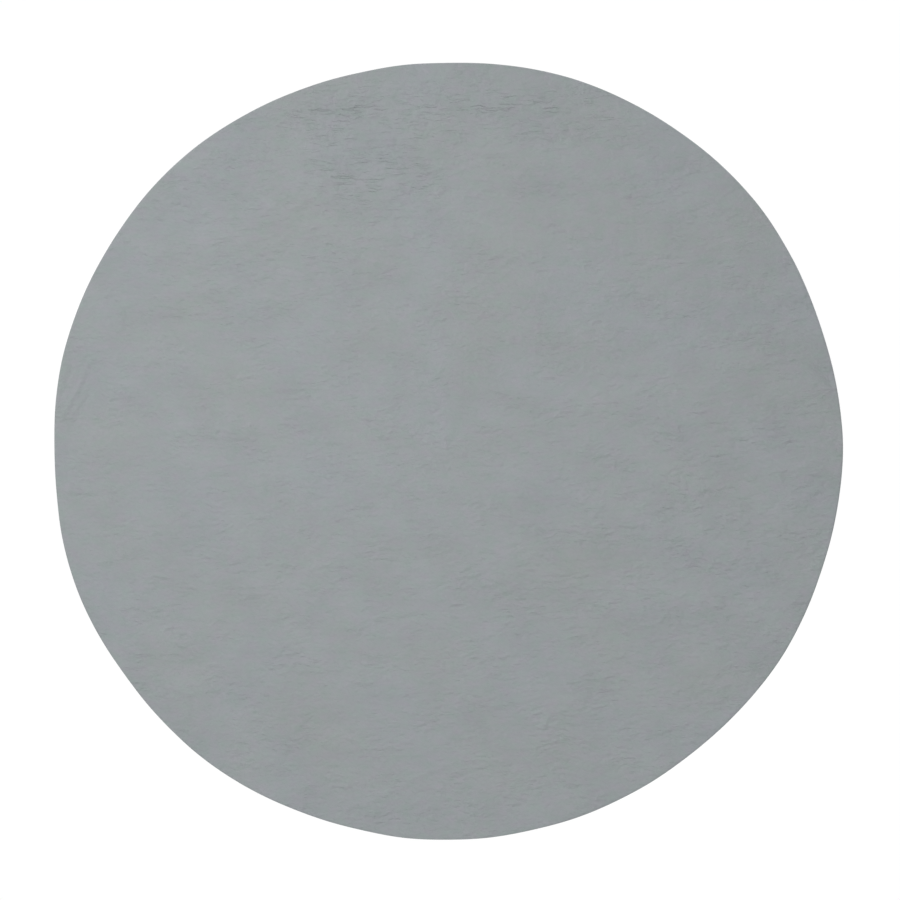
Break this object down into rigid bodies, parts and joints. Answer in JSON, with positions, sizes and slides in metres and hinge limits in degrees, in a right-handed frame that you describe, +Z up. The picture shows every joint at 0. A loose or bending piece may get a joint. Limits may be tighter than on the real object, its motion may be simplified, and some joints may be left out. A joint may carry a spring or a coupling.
{
  "type": "collapsible backdrop panel",
  "caption": "Round pop-up background panel: light grey cloth held taut on a sprung steel hoop, folds in half, hangs by a webbing strap.",
  "frame": {"origin": "the hanging point: the middle of the hanging strap's inner face, at the top of the back", "axes": "+Z up as the panel hangs, -Y out of the front cloth towards the camera, +X to the right seen from the front"},
  "size_m": [1.1, 0.0234, 1.0844],
  "materials": {
    "front_cloth": "brushed, finely crinkled light grey cloth",
    "rear_cloth": "plain grey cloth",
    "sleeve_tape": "woven grey tape",
    "spring_steel": "tempered spring strip",
    "crimp_steel": "zinc-plated, crimped",
    "wrap_tape": "shrunk black tape",
    "thread": "polyester sewing thread",
    "webbing": "black woven webbing",
    "label_satin": "white satin, blank"
  },
  "bodies": {
    "upper_half": {"front_cloth_upper": "front_cloth", "rear_cloth_upper": "rear_cloth", "band_sleeve_upper": "sleeve_tape", "spring_band_upper": "spring_steel", "rim_stitching_upper": "thread", "hem_stitching_upper": "thread", "hanging_strap": "webbing", "strap_tack_left": "thread", "strap_tack_right": "thread", "care_label": "label_satin"},
    "lower_half": {"front_cloth_lower": "front_cloth", "rear_cloth_lower": "rear_cloth", "band_sleeve_lower": "sleeve_tape", "spring_band_lower_left": "spring_steel", "spring_band_lower_right": "spring_steel", "band_ferrule": "crimp_steel", "ferrule_wrap": "wrap_tape", "rim_stitching_lower": "thread", "hem_stitching_lower": "thread"}
  },
  "joints": [
    {"name": "fold", "type": "hinge", "parent": "upper_half", "child": "lower_half", "pos_m": [0, -0.0227, -0.51906], "axis": [-1, 0, 0], "range_deg": [0, 160], "stiffness_Nm_per_rad": 3}
  ]
}
